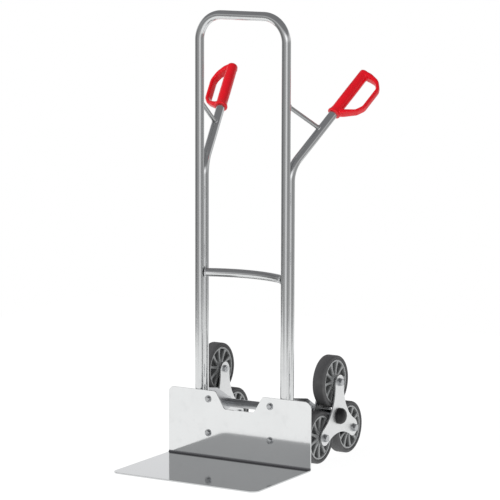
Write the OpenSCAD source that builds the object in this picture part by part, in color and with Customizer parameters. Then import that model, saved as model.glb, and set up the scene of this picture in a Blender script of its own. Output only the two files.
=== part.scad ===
// Stair-climbing hand truck: a bent aluminium tube frame with a folded nose plate, two swept-back
// handle tubes with guarded grips, and a three-wheel star cluster on each end of one axle.
// Millimetres. +Z is up, the nose plate's toe points along -Y and the handles lean towards +Y.
// The origin is on the floor, at the middle of the width and of the front-to-back extent.

/* [Frame] */
// Height over the top loop
frame_h = 1300; // [1100:10:1500]
// Distance between the upright tube centres
upright_spacing = 286; // [250:2:330]
// Outer diameter of the frame and handle tubes
tube_d = 26; // [22:1:28]
// Wall of every tube
tube_wall = 2; // [1.5:0.5:3]
// Centreline radius of the top loop's corners
loop_bend_r = 73; // [60:1:110]
// Height of the uprights' lower ends above the floor
upright_foot_z = 22; // [14:1:40]

/* [Crossbar] */
// Height of the crossbar's centreline
crossbar_z = 541; // [420:1:700]
// Outer diameter of the crossbar
crossbar_d = 25; // [18:1:26]
// How far the crossbar bows back from the uprights
crossbar_bow = 42; // [20:1:60]

/* [Handles] */
// Height at which the handle tube's straight parts would meet
handle_corner_z = 858; // [760:1:920]
// Centreline radius of the handle tube's bend
handle_bend_r = 80; // [60:1:110]
// Lean of the upper handle tube away from upright
handle_tilt = 50.1; // [40:0.1:60]
// Outward swing of the upper handle tube
handle_swing = 15.5; // [0:0.1:20]
// Height of the handle tube's lower end above the floor
handle_foot_z = 40; // [22:1:60]
// Diameter of the handle brace rod
brace_d = 12.5; // [8:0.5:16]
// Height where the brace meets the upright
brace_z = 1042; // [980:1:1100]
// Distance along the upper handle tube where the brace meets it
brace_reach = 159; // [120:1:200]

/* [Grips] */
// Distance along the upper handle tube at which the grip starts
grip_start = 224; // [200:1:260]
// Length of the grip
grip_len = 172; // [150:1:186]
// Outer diameter of the grip's sleeve
grip_d = 32; // [32:1:38]
// Outer diameter of the collar at the grip's lower end
collar_d = 40; // [39:1:44]
// Thickness of the collar
collar_t = 7; // [5:1:10]
// Thickness of the cap over the tube's end
grip_cap_t = 5; // [3:1:8]
// Reach of the hand guard from the tube's axis
guard_reach = 70; // [62:1:82]
// Thickness of the guard across its finger side
guard_t = 11; // [8:1:14]
// Depth of the guard, square to its own plane
guard_depth = 24; // [16:1:26]
// Turn of the guard about the tube
guard_turn = 29; // [0:1:30]

/* [Nose plate] */
// Width of the nose plate
nose_w = 476; // [440:2:520]
// Height of the nose plate
nose_h = 200; // [195:1:215]
// Depth of the toe in front of the upright face
toe_depth = 308; // [200:2:340]
// Thickness of the nose plate
nose_t = 4; // [3:0.5:5]
// Inner radius of the fold
fold_r = 5; // [2:0.5:6]
// Radius of the upper corners
nose_corner_r = 18; // [8:1:24]
// Radius of the toe's front corners
toe_corner_r = 24; // [8:1:40]
// Width of the notch at the top edge
notch_top_w = 158; // [130:1:164]
// Width of the notch at its floor
notch_floor_w = 98; // [70:1:110]
// Depth of the notch
notch_depth = 50; // [30:1:60]
// Radius of the notch's corners
notch_r = 11; // [4:1:14]

/* [Nose plate bolts] */
// Distance between the two columns of bolts
bolt_spacing_x = 207; // [204:1:212]
// Distance between the two rows of bolts
bolt_spacing_z = 100; // [70:1:110]
// Height of the lower row of bolts
bolt_low_z = 75; // [70:1:80]
// Diameter of the bolt shanks
bolt_d = 8; // [6:1:10]
// Width across the flats of the bolt heads and nuts
bolt_af = 13; // [12:1:17]
// Diameter of the bolt washers
bolt_washer_d = 21; // [18:1:22]

/* [Lugs and axle brackets] */
// Thickness of the lugs behind the nose plate
lug_t = 4; // [3:0.5:5]
// Margin of the lugs around their bolts
lug_margin = 19; // [15:1:22]
// Thickness of the axle brackets
bracket_t = 4; // [3:0.5:5]
// Distance from the middle to a bracket's inner face
bracket_x = 150; // [146:0.5:150]
// Height of the bracket's lower edge at the tubes
bracket_low_z = 48; // [44:1:60]
// Height of the bracket's upper edge at the tubes
bracket_high_z = 197; // [160:1:210]
// Distance the bracket's upper edge runs back before it drops to the axle
bracket_knee_y = 130; // [110:1:160]
// Height of the bracket's upper edge where it drops
bracket_knee_z = 181; // [150:1:196]
// Radius of the bracket's end around the axle
bracket_end_r = 19; // [16:1:26]

/* [Axle] */
// Distance of the axle behind the nose plate's front face
axle_back = 193; // [190:1:215]
// Diameter of the axle
axle_d = 16; // [14:1:18]
// Outer diameter of the tube around the axle
axle_tube_d = 25; // [22:1:28]
// Diameter of the retaining washer on the axle's end
axle_washer_d = 28; // [24:1:32]
// Distance the axle stands out past the star
axle_end = 8; // [7:1:9]

/* [Star clusters] */
// Distance from the axle to each wheel centre
star_r = 100; // [96:1:102]
// Distance from the middle to a star's outer face
star_outer_x = 225; // [222:1:232]
// Distance from the middle to a star's inner face
star_inner_x = 163; // [161:1:166]
// Thickness of the star plates
star_t = 4; // [3:0.5:5]
// Half the width of a star's arm
arm_half_w = 25; // [20:1:27]
// Distance from the axle to the star's edge between two arms
star_waist = 48; // [40:1:54]
// Outer diameter of the star's hub sleeve
star_hub_d = 32; // [28:1:36]
// Diameter of the domed hub cap
cap_d = 47; // [42:1:52]
// Height of the domed hub cap
cap_h = 20; // [14:1:20]

/* [Wheels] */
// Diameter of a wheel over the tyre
wheel_d = 152; // [140:1:154]
// Width of the tyre
tyre_w = 38; // [30:1:40]
// Radial thickness of the tyre
tyre_t = 12; // [8:1:18]
// Radius of the tyre's shoulders
tyre_shoulder_r = 6; // [3:1:10]
// Width of the rim's outer band
rim_w = 34; // [26:1:36]
// Radial thickness of the rim's outer band
rim_band_t = 6; // [4:1:9]
// Thickness of the web in the middle of the rim
rim_web_t = 5; // [3:1:8]
// Outer diameter of the rim's hub
rim_hub_d = 38; // [34:1:44]
// Number of ribs on each face of the rim
rib_count = 10; // [5:1:12]
// Thickness of each rib
rib_t = 7; // [3:0.5:8]
// Diameter of the wheel bolts
wheel_bolt_d = 12; // [10:1:12]
// Width across the flats of the wheel bolts' heads and nuts
wheel_bolt_af = 19; // [17:1:21]
// Outer diameter of the wheel bearings
bearing_d = 28; // [26:1:30]
// Width of each wheel bearing
bearing_w = 8; // [6:1:10]

/* [Fits] */
// Radial running clearance between a shaft and its bore
running_gap = 0.05; // [0.02:0.01:0.1]
// Gap beside every part that turns against another
side_gap = 0.4; // [0.3:0.1:0.6]

/* [Hidden] */
$fn = 72;
eps = 0.02;
bend_lap = 0.5;
bend_step = 0.02;
tube_r = tube_d / 2;
half_spacing = upright_spacing / 2;
upright_y = nose_t + tube_r;
handle_y = upright_y + tube_d;
loop_z = frame_h - tube_r;
crossbar_r = (half_spacing * half_spacing + crossbar_bow * crossbar_bow) / (2 * crossbar_bow);
crossbar_half_angle = asin(half_spacing / crossbar_r);
handle_tangent = handle_bend_r * tan(handle_tilt / 2);
grip_end = grip_start + grip_len;
tube_end = grip_end - grip_cap_t;
wheel_r = wheel_d / 2;
axle_z = wheel_r + star_r / 2;
back_y = axle_back + star_r * cos(30) + wheel_r;
mid_y = (back_y - toe_depth) / 2;
wheel_x = (star_outer_x + star_inner_x) / 2;
rim_r = wheel_r - tyre_t;
star_cut_centre = (star_waist - arm_half_w) / (1 - sin(60));
star_cut_r = star_cut_centre - star_waist;
axle_tube_end = star_inner_x - side_gap;
bolt_head_t = 5.5;
bolt_washer_t = 1.6;
wheel_head_t = 7.5;
wheel_washer_t = 2.5;
wheel_nut_t = 6;
arm_angles = [90, 210, 330];
arm_names = ["top", "front", "rear"];

// ---------- helpers ----------

// Outline points with each corner rounded by its own radius.
function round_corners(points, radii, steps = 8) = [
    for (i = [0 : len(points) - 1])
        let (
            p = points[i],
            before = points[(i + len(points) - 1) % len(points)],
            after = points[(i + 1) % len(points)],
            a = (before - p) / norm(before - p),
            b = (after - p) / norm(after - p),
            half = acos(a * b) / 2,
            centre = p + (a + b) / norm(a + b) * radii[i] / sin(half),
            from = p + a * radii[i] / tan(half) - centre,
            turn = (a[0] * b[1] - a[1] * b[0] > 0 ? 1 : -1) * (180 - 2 * half)
        )
        for (k = [0 : radii[i] > 0 ? steps : 0])
            radii[i] > 0
                ? centre + [from[0] * cos(-turn * k / steps) - from[1] * sin(-turn * k / steps),
                            from[0] * sin(-turn * k / steps) + from[1] * cos(-turn * k / steps)]
                : p
];

// Places children in the object's frame: the floor at z = 0, the middle of the depth at y = 0.
module placed() {
    translate([0, -mid_y, 0]) children();
}

// The right-hand side as drawn, or its mirror image on the left.
module on_side(side) {
    placed() mirror([side < 0 ? 1 : 0, 0, 0]) children();
}

// A cylinder along +X from x0 to x1.
module x_rod(d, x0, x1) {
    translate([x0, 0, 0]) rotate([0, 90, 0]) cylinder(d = d, h = x1 - x0);
}

// A ring along +X from x0 to x1.
module x_ring(d, bore, x0, x1) {
    difference() {
        x_rod(d, x0, x1);
        x_rod(bore, x0 - 1, x1 + 1);
    }
}

// A sheet in the YZ plane, drawn as [y, z] and thickened along +X from x0.
module x_sheet(x0, t) {
    translate([x0, 0, 0]) rotate([90, 0, 90]) linear_extrude(t) children();
}

// ---------- tube frame ----------

module loop_solid(d) {
    translate([0, upright_y, 0]) for (s = [-1, 1]) {
        foot = d < tube_d ? upright_foot_z - 1 : upright_foot_z;
        translate([s * half_spacing, 0, foot]) cylinder(d = d, h = loop_z - loop_bend_r - foot);
        translate([s * (half_spacing - loop_bend_r), 0, loop_z - loop_bend_r])
            rotate([90, 0, 0]) rotate([0, 0, s > 0 ? 0 : 90])
                rotate_extrude(angle = 90) translate([loop_bend_r, 0]) circle(d = d);
    }
    translate([0, upright_y, loop_z]) x_rod(d, loop_bend_r - half_spacing, half_spacing - loop_bend_r);
}

module frame_tube() {
    color("Silver") placed() difference() {
        loop_solid(tube_d);
        loop_solid(tube_d - 2 * tube_wall);
    }
}

// Local frame of the upper handle tube: +Z up the tube, +X outward.
module at_handle() {
    translate([half_spacing, handle_y, handle_corner_z])
        rotate([0, 0, -handle_swing]) rotate([-handle_tilt, 0, 0]) children();
}

// The straights lap the ends of the bend, which is drawn finer by bend_step so that they join cleanly.
module handle_solid(d) {
    extra = d < tube_d ? 1 : 0;
    bend_z = handle_corner_z - handle_tangent;
    translate([half_spacing, handle_y, handle_foot_z - extra])
        cylinder(d = d, h = bend_z + bend_lap - handle_foot_z + extra);
    translate([half_spacing, handle_y, bend_z]) rotate([0, 0, -handle_swing])
        translate([0, handle_bend_r, 0]) rotate([0, 0, -90]) rotate([90, 0, 0])
            rotate_extrude(angle = handle_tilt) translate([handle_bend_r, 0]) circle(d = d - bend_step);
    at_handle() translate([0, 0, handle_tangent - bend_lap])
        cylinder(d = d, h = tube_end - handle_tangent + bend_lap + extra);
}

module handle_tube(side) {
    color("Silver") on_side(side) difference() {
        handle_solid(tube_d);
        handle_solid(tube_d - 2 * tube_wall);
    }
}

// The brace runs from the upright's back to the upper handle tube, and is cut to fit both.
module handle_brace(side) {
    dx = brace_reach * sin(handle_tilt) * sin(handle_swing);
    dy = tube_d + brace_reach * sin(handle_tilt) * cos(handle_swing);
    dz = handle_corner_z + brace_reach * cos(handle_tilt) - brace_z;
    color("Silver") on_side(side) difference() {
        translate([half_spacing, upright_y, brace_z])
            rotate([0, 0, atan2(dy, dx)]) rotate([0, acos(dz / norm([dx, dy, dz])), 0])
                cylinder(d = brace_d, h = norm([dx, dy, dz]));
        translate([half_spacing, upright_y, brace_z - 4 * brace_d]) cylinder(d = tube_d, h = 8 * brace_d);
        at_handle() translate([0, 0, handle_tangent]) cylinder(d = tube_d, h = tube_end - handle_tangent);
    }
}

module crossbar_solid(d, over = 0) {
    translate([0, upright_y + crossbar_bow - crossbar_r, crossbar_z])
        rotate([0, 0, 90 - crossbar_half_angle - over])
            rotate_extrude(angle = 2 * (crossbar_half_angle + over))
                translate([crossbar_r, 0]) circle(d = d);
}

module crossbar() {
    inner_w = upright_spacing - tube_r;
    color("Silver") placed() difference() {
        intersection() {
            crossbar_solid(crossbar_d);
            translate([-inner_w / 2, 0, crossbar_z - crossbar_d])
                cube([inner_w, 2 * tube_d + 2 * crossbar_bow, 2 * crossbar_d]);
        }
        crossbar_solid(crossbar_d - 2 * tube_wall, 1);
        for (s = [-1, 1], y = [upright_y, handle_y])
            translate([s * half_spacing, y, crossbar_z - crossbar_d])
                cylinder(d = tube_d, h = 2 * crossbar_d);
    }
}

// Short weld beads in both grooves between each upright and its handle tube.
module weld_seams() {
    bead_r = 2;
    bead_len = 34;
    groove_x = sqrt(bead_r * (bead_r + tube_d));
    heights = [nose_h + 50, crossbar_z + 60, handle_corner_z - handle_tangent - 50];
    color("Gainsboro") placed() for (s = [-1, 1], groove = [-1, 1], z = heights)
        translate([s * half_spacing + groove * groove_x, upright_y + tube_r, z - bead_len / 2]) {
            cylinder(r = bead_r, h = bead_len);
            sphere(r = bead_r);
            translate([0, 0, bead_len]) sphere(r = bead_r);
        }
}

// Push-in plugs that close the lower tube ends.
module tube_plugs() {
    lip = 3;
    insert = 14;
    ends = [[upright_y, upright_foot_z], [handle_y, handle_foot_z]];
    color("DimGray") placed() for (s = [-1, 1], end = ends)
        translate([s * half_spacing, end[0], end[1] - lip]) {
            cylinder(d = tube_d - 1, h = lip);
            cylinder(d = tube_d - 2 * tube_wall, h = lip + insert);
        }
}

// ---------- grips ----------

// Guard outline: [distance out from the tube, distance up the tube].
function guard_outline() = round_corners([
    [0, grip_start + 1.5], [grip_d / 2 + 5, grip_start + 1.5], [guard_reach - 15, grip_start + 34],
    [guard_reach, grip_start + 60], [guard_reach, grip_end - 32], [guard_reach - 24, grip_end - 9],
    [grip_d / 2 - 4, grip_end - 2.5], [0, grip_end - 2.5]], [0, 6, 16, 18, 24, 24, 0, 0]);

function guard_window() = round_corners([
    [grip_d / 2 + 1, grip_start + 27], [guard_reach - guard_t - 9, grip_start + 42],
    [guard_reach - guard_t, grip_start + 62], [guard_reach - guard_t, grip_end - 36],
    [guard_reach - guard_t - 16, grip_end - 23], [grip_d / 2 + 1, grip_end - 20]],
    [4, 10, 10, 12, 10, 5]);

module grip(side) {
    color("Crimson") on_side(side) at_handle() difference() {
        union() {
            translate([0, 0, grip_start]) rotate_extrude() polygon(round_corners([
                [0, 0], [collar_d / 2, 0], [collar_d / 2, collar_t], [grip_d / 2, collar_t + 3],
                [grip_d / 2, grip_len], [0, grip_len]], [0, 2, 2, 2, 5, 0], 5));
            rotate([0, 0, guard_turn]) translate([0, guard_depth / 2, 0]) rotate([90, 0, 0])
                linear_extrude(guard_depth) difference() {
                    polygon(guard_outline());
                    polygon(guard_window());
                }
        }
        translate([0, 0, grip_start - 1]) cylinder(d = tube_d, h = tube_end - grip_start + 1);
    }
}

// ---------- nose plate ----------

module nose_profile() {
    polygon([[0, nose_t + fold_r], [nose_t, nose_t + fold_r], [nose_t, nose_h], [0, nose_h]]);
    polygon([[-toe_depth, 0], [-fold_r, 0], [-fold_r, nose_t], [-toe_depth, nose_t]]);
    translate([-fold_r, nose_t + fold_r]) intersection() {
        difference() {
            circle(r = fold_r + nose_t);
            circle(r = fold_r);
        }
        translate([-eps, -fold_r - nose_t]) square([fold_r + nose_t + eps, fold_r + nose_t + eps]);
    }
}

// Face of the nose plate, with the notch at the middle of its top edge.
function nose_face() =
    let (side = [[nose_w / 2, -1], [nose_w / 2, nose_h], [notch_top_w / 2, nose_h],
                 [notch_floor_w / 2, nose_h - notch_depth]])
    round_corners(concat(side, [for (i = [3 : -1 : 0]) [-side[i][0], side[i][1]]]),
                  [0, nose_corner_r, notch_r, notch_r, notch_r, notch_r, nose_corner_r, 0]);

module bolt_positions() {
    for (s = [-1, 1], k = [0, 1])
        translate([s * bolt_spacing_x / 2, 0, bolt_low_z + k * bolt_spacing_z])
            rotate([-90, 0, 0]) children();
}

module nose_plate() {
    color("LightGray") placed() difference() {
        intersection() {
            x_sheet(-nose_w / 2, nose_w) nose_profile();
            union() {
                translate([0, nose_t + 1, 0]) rotate([90, 0, 0]) linear_extrude(fold_r + nose_t + 1)
                    polygon(nose_face());
                translate([0, 0, -1]) linear_extrude(nose_t + fold_r + 1) polygon(round_corners([
                    [-nose_w / 2, -toe_depth], [nose_w / 2, -toe_depth], [nose_w / 2, -fold_r],
                    [-nose_w / 2, -fold_r]], [toe_corner_r, toe_corner_r, 0, 0]));
            }
        }
        bolt_positions() translate([0, 0, -1]) cylinder(d = bolt_d, h = nose_t + 2);
    }
}

module nose_bolts() {
    color("Silver") placed() bolt_positions() {
        translate([0, 0, -bolt_washer_t - bolt_head_t])
            cylinder(d = bolt_af / cos(30), h = bolt_head_t, $fn = 6);
        translate([0, 0, -bolt_washer_t]) cylinder(d = bolt_d, h = bolt_washer_t + nose_t + lug_t + 12);
    }
}

module nose_washers() {
    color("Gainsboro") placed() bolt_positions()
        for (z = [-bolt_washer_t, nose_t + lug_t]) translate([0, 0, z]) difference() {
            cylinder(d = bolt_washer_d, h = bolt_washer_t);
            translate([0, 0, -1]) cylinder(d = bolt_d, h = bolt_washer_t + 2);
        }
}

module nose_nuts() {
    nut_t = 6.5;
    seat = nose_t + lug_t + bolt_washer_t;
    color("Silver") placed() bolt_positions() translate([0, 0, seat]) difference() {
        cylinder(d = bolt_af / cos(30), h = nut_t, $fn = 6);
        translate([0, 0, -1]) cylinder(d = bolt_d, h = nut_t + 2);
    }
}

// ---------- lugs and axle brackets ----------

// A flat lug behind the nose plate, coped and welded to the upright, that takes two bolts.
module nose_lug(side) {
    low_z = bolt_low_z - lug_margin;
    lug_x = bolt_spacing_x / 2 - lug_margin;
    lug_h = bolt_spacing_z + 2 * lug_margin;
    color("LightGray") on_side(side) difference() {
        translate([lug_x, nose_t, low_z]) cube([half_spacing - tube_r / 2 - lug_x, lug_t, lug_h]);
        translate([half_spacing, upright_y, low_z - 1]) cylinder(d = tube_d, h = lug_h + 2);
        bolt_positions() cylinder(d = bolt_d, h = nose_t + lug_t + 1);
    }
}

// A plate welded to the back of the handle tube, reaching back to carry the axle tube.
module axle_bracket(side) {
    root_y = handle_y + tube_r + 12;
    inset = bracket_end_r - 2;
    color("LightGray") on_side(side) difference() {
        x_sheet(bracket_x, bracket_t) {
            polygon([[handle_y, bracket_low_z], [root_y, bracket_low_z], [axle_back, axle_z - inset],
                     [axle_back + inset * sin(45), axle_z + inset * sin(45)],
                     [bracket_knee_y, bracket_knee_z], [handle_y, bracket_high_z]]);
            translate([axle_back, axle_z]) circle(r = bracket_end_r);
        }
        translate([half_spacing, handle_y, bracket_low_z - 1])
            cylinder(d = tube_d, h = bracket_high_z - bracket_low_z + 2);
        translate([0, axle_back, axle_z]) x_rod(axle_tube_d, bracket_x - 1, bracket_x + bracket_t + 1);
    }
}

module axle_tube() {
    color("Silver") placed() translate([0, axle_back, axle_z])
        x_ring(axle_tube_d, axle_d, -axle_tube_end, axle_tube_end);
}

module axle() {
    reach = star_outer_x + axle_end;
    color("Gray") placed() translate([0, axle_back, axle_z]) x_rod(axle_d, -reach, reach);
}

// A washer and a push-on ring hold each star on the axle.
module axle_clip(side) {
    washer_t = 2;
    ring_t = 2.5;
    x0 = star_outer_x + side_gap;
    color("Gray") on_side(side) translate([0, axle_back, axle_z]) {
        x_ring(axle_washer_d, axle_d, x0, x0 + washer_t);
        x_ring(axle_washer_d - 5, axle_d, x0 + washer_t, x0 + washer_t + ring_t);
    }
}

// ---------- star clusters ----------

module at_star(side) {
    on_side(side) translate([0, axle_back, axle_z]) children();
}

// Runs children once at every wheel centre, or at the one numbered k.
module at_wheels(k = -1) {
    for (i = [0 : 2]) if (k < 0 || k == i)
        translate([0, star_r * cos(arm_angles[i]), star_r * sin(arm_angles[i])]) children();
}

module star_outline() {
    difference() {
        union() {
            for (a = arm_angles) rotate(a) {
                translate([0, eps - arm_half_w]) square([star_r - 4, 2 * arm_half_w - 2 * eps]);
                translate([star_r - 4, 0]) circle(r = arm_half_w);
            }
            polygon([for (a = arm_angles, s = [-1, 1])
                [star_cut_centre / 2 * cos(a) - s * arm_half_w * sin(a),
                 star_cut_centre / 2 * sin(a) + s * arm_half_w * cos(a)]]);
        }
        for (a = arm_angles) rotate(a + 60) translate([star_cut_centre, 0]) circle(r = star_cut_r);
    }
}

module star_plate(side, x0) {
    color("Gainsboro") at_star(side) difference() {
        x_sheet(x0, star_t) star_outline();
        x_rod(star_hub_d, x0 - 1, x0 + star_t + 1);
        at_wheels() x_rod(wheel_bolt_d, x0 - 1, x0 + star_t + 1);
    }
}

module star_hub(side) {
    color("Gray") at_star(side) x_ring(star_hub_d, axle_d + 2 * running_gap, star_inner_x, star_outer_x);
}

module hub_cap(side) {
    wall = 2;
    color("DimGray") at_star(side) translate([star_outer_x, 0, 0]) rotate([0, 90, 0]) rotate_extrude()
        difference() {
            polygon(round_corners([[0, 0], [cap_d / 2, 0], [cap_d / 2, cap_h / 2],
                                   [cap_d / 3.2, cap_h - 2], [0, cap_h]], [0, 1, 7, 12, 0]));
            square([cap_d / 2 - wall - 1, cap_h / 2 + 1]);
            square([cap_d / 3.2, cap_h - 4]);
        }
}

module wheel_bolts(side) {
    color("Silver") at_star(side) at_wheels() {
        x_rod(wheel_bolt_d, star_inner_x - wheel_nut_t - 1, star_outer_x);
        x_rod(wheel_bolt_af + 5, star_outer_x, star_outer_x + wheel_washer_t);
        translate([star_outer_x + wheel_washer_t, 0, 0]) rotate([0, 90, 0])
            cylinder(d = wheel_bolt_af / cos(30), h = wheel_head_t, $fn = 6);
    }
}

module wheel_nuts(side) {
    color("Silver") at_star(side) at_wheels() difference() {
        translate([star_inner_x - wheel_nut_t, 0, 0]) rotate([0, 90, 0])
            cylinder(d = wheel_bolt_af / cos(30), h = wheel_nut_t, $fn = 6);
        x_rod(wheel_bolt_d, star_inner_x - wheel_nut_t - 1, star_inner_x + 1);
    }
}

// Sleeves that keep the wheels clear of the star plates.
module wheel_spacers(side) {
    color("Gray") at_star(side) at_wheels() {
        x_ring(wheel_bolt_d + 7, wheel_bolt_d, star_inner_x + star_t, wheel_x - tyre_w / 2 - side_gap);
        x_ring(wheel_bolt_d + 7, wheel_bolt_d, wheel_x + tyre_w / 2 + side_gap, star_outer_x - star_t);
    }
}

// ---------- wheels ----------

module rim(side, k) {
    color("Silver") at_star(side) at_wheels(k) translate([wheel_x, 0, 0]) {
        rotate([0, 90, 0]) rotate_extrude() {
            translate([bearing_d / 2 - 2, -tyre_w / 2 + bearing_w])
                square([rim_hub_d / 2 - bearing_d / 2 + 2, tyre_w - 2 * bearing_w]);
            translate([bearing_d / 2, -tyre_w / 2]) square([rim_hub_d / 2 - bearing_d / 2, tyre_w]);
            translate([rim_hub_d / 2 - 1, -rim_web_t / 2]) square([rim_r - rim_hub_d / 2, rim_web_t]);
            translate([rim_r - rim_band_t, -rim_w / 2]) square([rim_band_t, rim_w]);
        }
        for (i = [0 : rib_count - 1]) rotate([i * 360 / rib_count, 0, 0])
            translate([-rim_w / 2 + 2, -rib_t / 2, rim_hub_d / 2 - 1])
                cube([rim_w - 4, rib_t, rim_r - rim_band_t - rim_hub_d / 2 + 2]);
    }
}

module tyre(side, k) {
    color("DimGray") at_star(side) at_wheels(k) translate([wheel_x, 0, 0]) rotate([0, 90, 0])
        rotate_extrude() polygon(round_corners([
            [rim_r, -tyre_w / 2 + 2], [rim_r + 3, -tyre_w / 2], [wheel_r, -tyre_w / 2],
            [wheel_r, tyre_w / 2], [rim_r + 3, tyre_w / 2], [rim_r, tyre_w / 2 - 2]],
            [0, 1, tyre_shoulder_r, tyre_shoulder_r, 1, 0]));
}

module bearings(side, k) {
    color("Gainsboro") at_star(side) at_wheels(k) for (s = [-1, 1])
        translate([wheel_x + s * (tyre_w - bearing_w) / 2, 0, 0])
            x_ring(bearing_d, wheel_bolt_d + 2 * running_gap, -bearing_w / 2, bearing_w / 2);
}

frame_tube();
crossbar();
nose_plate();
nose_bolts();
nose_washers();
nose_nuts();
axle_tube();
axle();
weld_seams();
tube_plugs();
for (side = [-1, 1]) {
    end = side < 0 ? "_left" : "_right";
    handle_tube(side);
    handle_brace(side);
    grip(side);
    axle_bracket(side);
    nose_lug(side);
    axle_clip(side);
    star_plate(side, star_outer_x - star_t);
    star_plate(side, star_inner_x);
    star_hub(side);
    hub_cap(side);
    wheel_bolts(side);
    wheel_nuts(side);
    wheel_spacers(side);
    for (k = [0 : 2]) {
        place = str(end, "_", arm_names[k]);
        rim(side, k);
        tyre(side, k);
        bearings(side, k);
    }
}
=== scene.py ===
"""Studio scene of an upright hand truck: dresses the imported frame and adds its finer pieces."""

from __future__ import annotations

import logging
import math
from dataclasses import dataclass
from enum import Enum
from typing import Callable, Iterable, Sequence

import bmesh
import bpy
from mathutils import Matrix, Vector


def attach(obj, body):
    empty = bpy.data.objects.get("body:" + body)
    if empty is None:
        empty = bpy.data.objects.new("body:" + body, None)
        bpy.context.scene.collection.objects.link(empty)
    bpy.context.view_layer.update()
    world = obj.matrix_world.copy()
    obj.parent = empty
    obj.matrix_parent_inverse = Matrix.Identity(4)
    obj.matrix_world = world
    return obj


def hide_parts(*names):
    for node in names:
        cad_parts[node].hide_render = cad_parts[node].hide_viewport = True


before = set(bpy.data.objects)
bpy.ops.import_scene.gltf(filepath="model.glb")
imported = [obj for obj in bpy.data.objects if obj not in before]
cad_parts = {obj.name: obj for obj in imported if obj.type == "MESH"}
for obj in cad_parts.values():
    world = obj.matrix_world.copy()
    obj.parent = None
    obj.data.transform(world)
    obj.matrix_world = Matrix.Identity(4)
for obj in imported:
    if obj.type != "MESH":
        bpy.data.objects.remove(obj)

log = logging.getLogger("hand_truck")
MM = 0.001
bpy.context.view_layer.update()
ORIGIN = Vector((0, 0, 0))
UP = Vector((0, 0, 1))
Colour = tuple[float, float, float]


class Side(Enum):
    """Which side of the truck a piece belongs to, as the sign of its x."""

    LEFT = -1
    RIGHT = 1

    @property
    def tag(self) -> str:
        """The side's word in node names."""
        return self.name.lower()


class Axis(Enum):
    """Axis that a turned piece is made about: its direction and the turn of a ring square to it."""

    X = ((1, 0, 0), (0.0, math.pi / 2, 0.0))
    Y = ((0, 1, 0), (-math.pi / 2, 0.0, 0.0))
    Z = ((0, 0, 1), (0.0, 0.0, 0.0))

    @property
    def direction(self) -> Vector:
        """Direction of the axis."""
        return Vector(self.value[0])

    @property
    def turn(self) -> tuple[float, float, float]:
        """Euler angles that face a ring along the axis."""
        return self.value[1]


class Slot(Enum):
    """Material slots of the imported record."""

    TUBE = "tube_metal"
    BRACE = "brace_metal"
    GRIP = "grip_plastic"
    NOSE = "nose_metal"
    BRACKET = "bracket_metal"
    AXLE = "axle_steel"
    BOLT = "bolt_steel"
    WELD = "weld_metal"
    BLACK = "black_plastic"
    STAR = "star_metal"
    RIM = "rim_plastic"
    TYRE = "tyre_rubber"
    BEARING = "bearing_steel"


# ---------------------------------------------------------------- shader maths


class Value:
    """A number socket that can be used in Python expressions."""

    def __init__(self, graph: "Graph", socket: bpy.types.NodeSocket) -> None:
        self.graph = graph
        self.socket = socket

    def _math(self, operation: str, *terms: "Value | float") -> "Value":
        return self.graph.node("ShaderNodeMath", {"operation": operation}, dict(enumerate(terms)))

    def __add__(self, other: "Value | float") -> "Value":
        return self._math("ADD", self, other)

    def __radd__(self, other: float) -> "Value":
        return self._math("ADD", other, self)

    def __sub__(self, other: "Value | float") -> "Value":
        return self._math("SUBTRACT", self, other)

    def __rsub__(self, other: float) -> "Value":
        return self._math("SUBTRACT", other, self)

    def __mul__(self, other: "Value | float") -> "Value":
        return self._math("MULTIPLY", self, other)

    def __truediv__(self, other: "Value | float") -> "Value":
        return self._math("DIVIDE", self, other)

    def __pow__(self, other: float) -> "Value":
        return self._math("POWER", self, other)

    def __abs__(self) -> "Value":
        return self._math("ABSOLUTE", self)

    def clamp(self) -> "Value":
        """Limits the value to 0..1."""
        return self._math("MINIMUM", self._math("MAXIMUM", self, 0.0), 1.0)

    def step(self, low: float, high: float) -> "Value":
        """Smooth ramp from 0 at low to 1 at high.

        Args:
            low: Value that gives 0.
            high: Value that gives 1.

        Returns:
            The ramped value.
        """
        settings = {"interpolation_type": "SMOOTHSTEP"}
        inputs = {"Value": self, "From Min": low, "From Max": high}
        return self.graph.node("ShaderNodeMapRange", settings, inputs)


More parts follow.
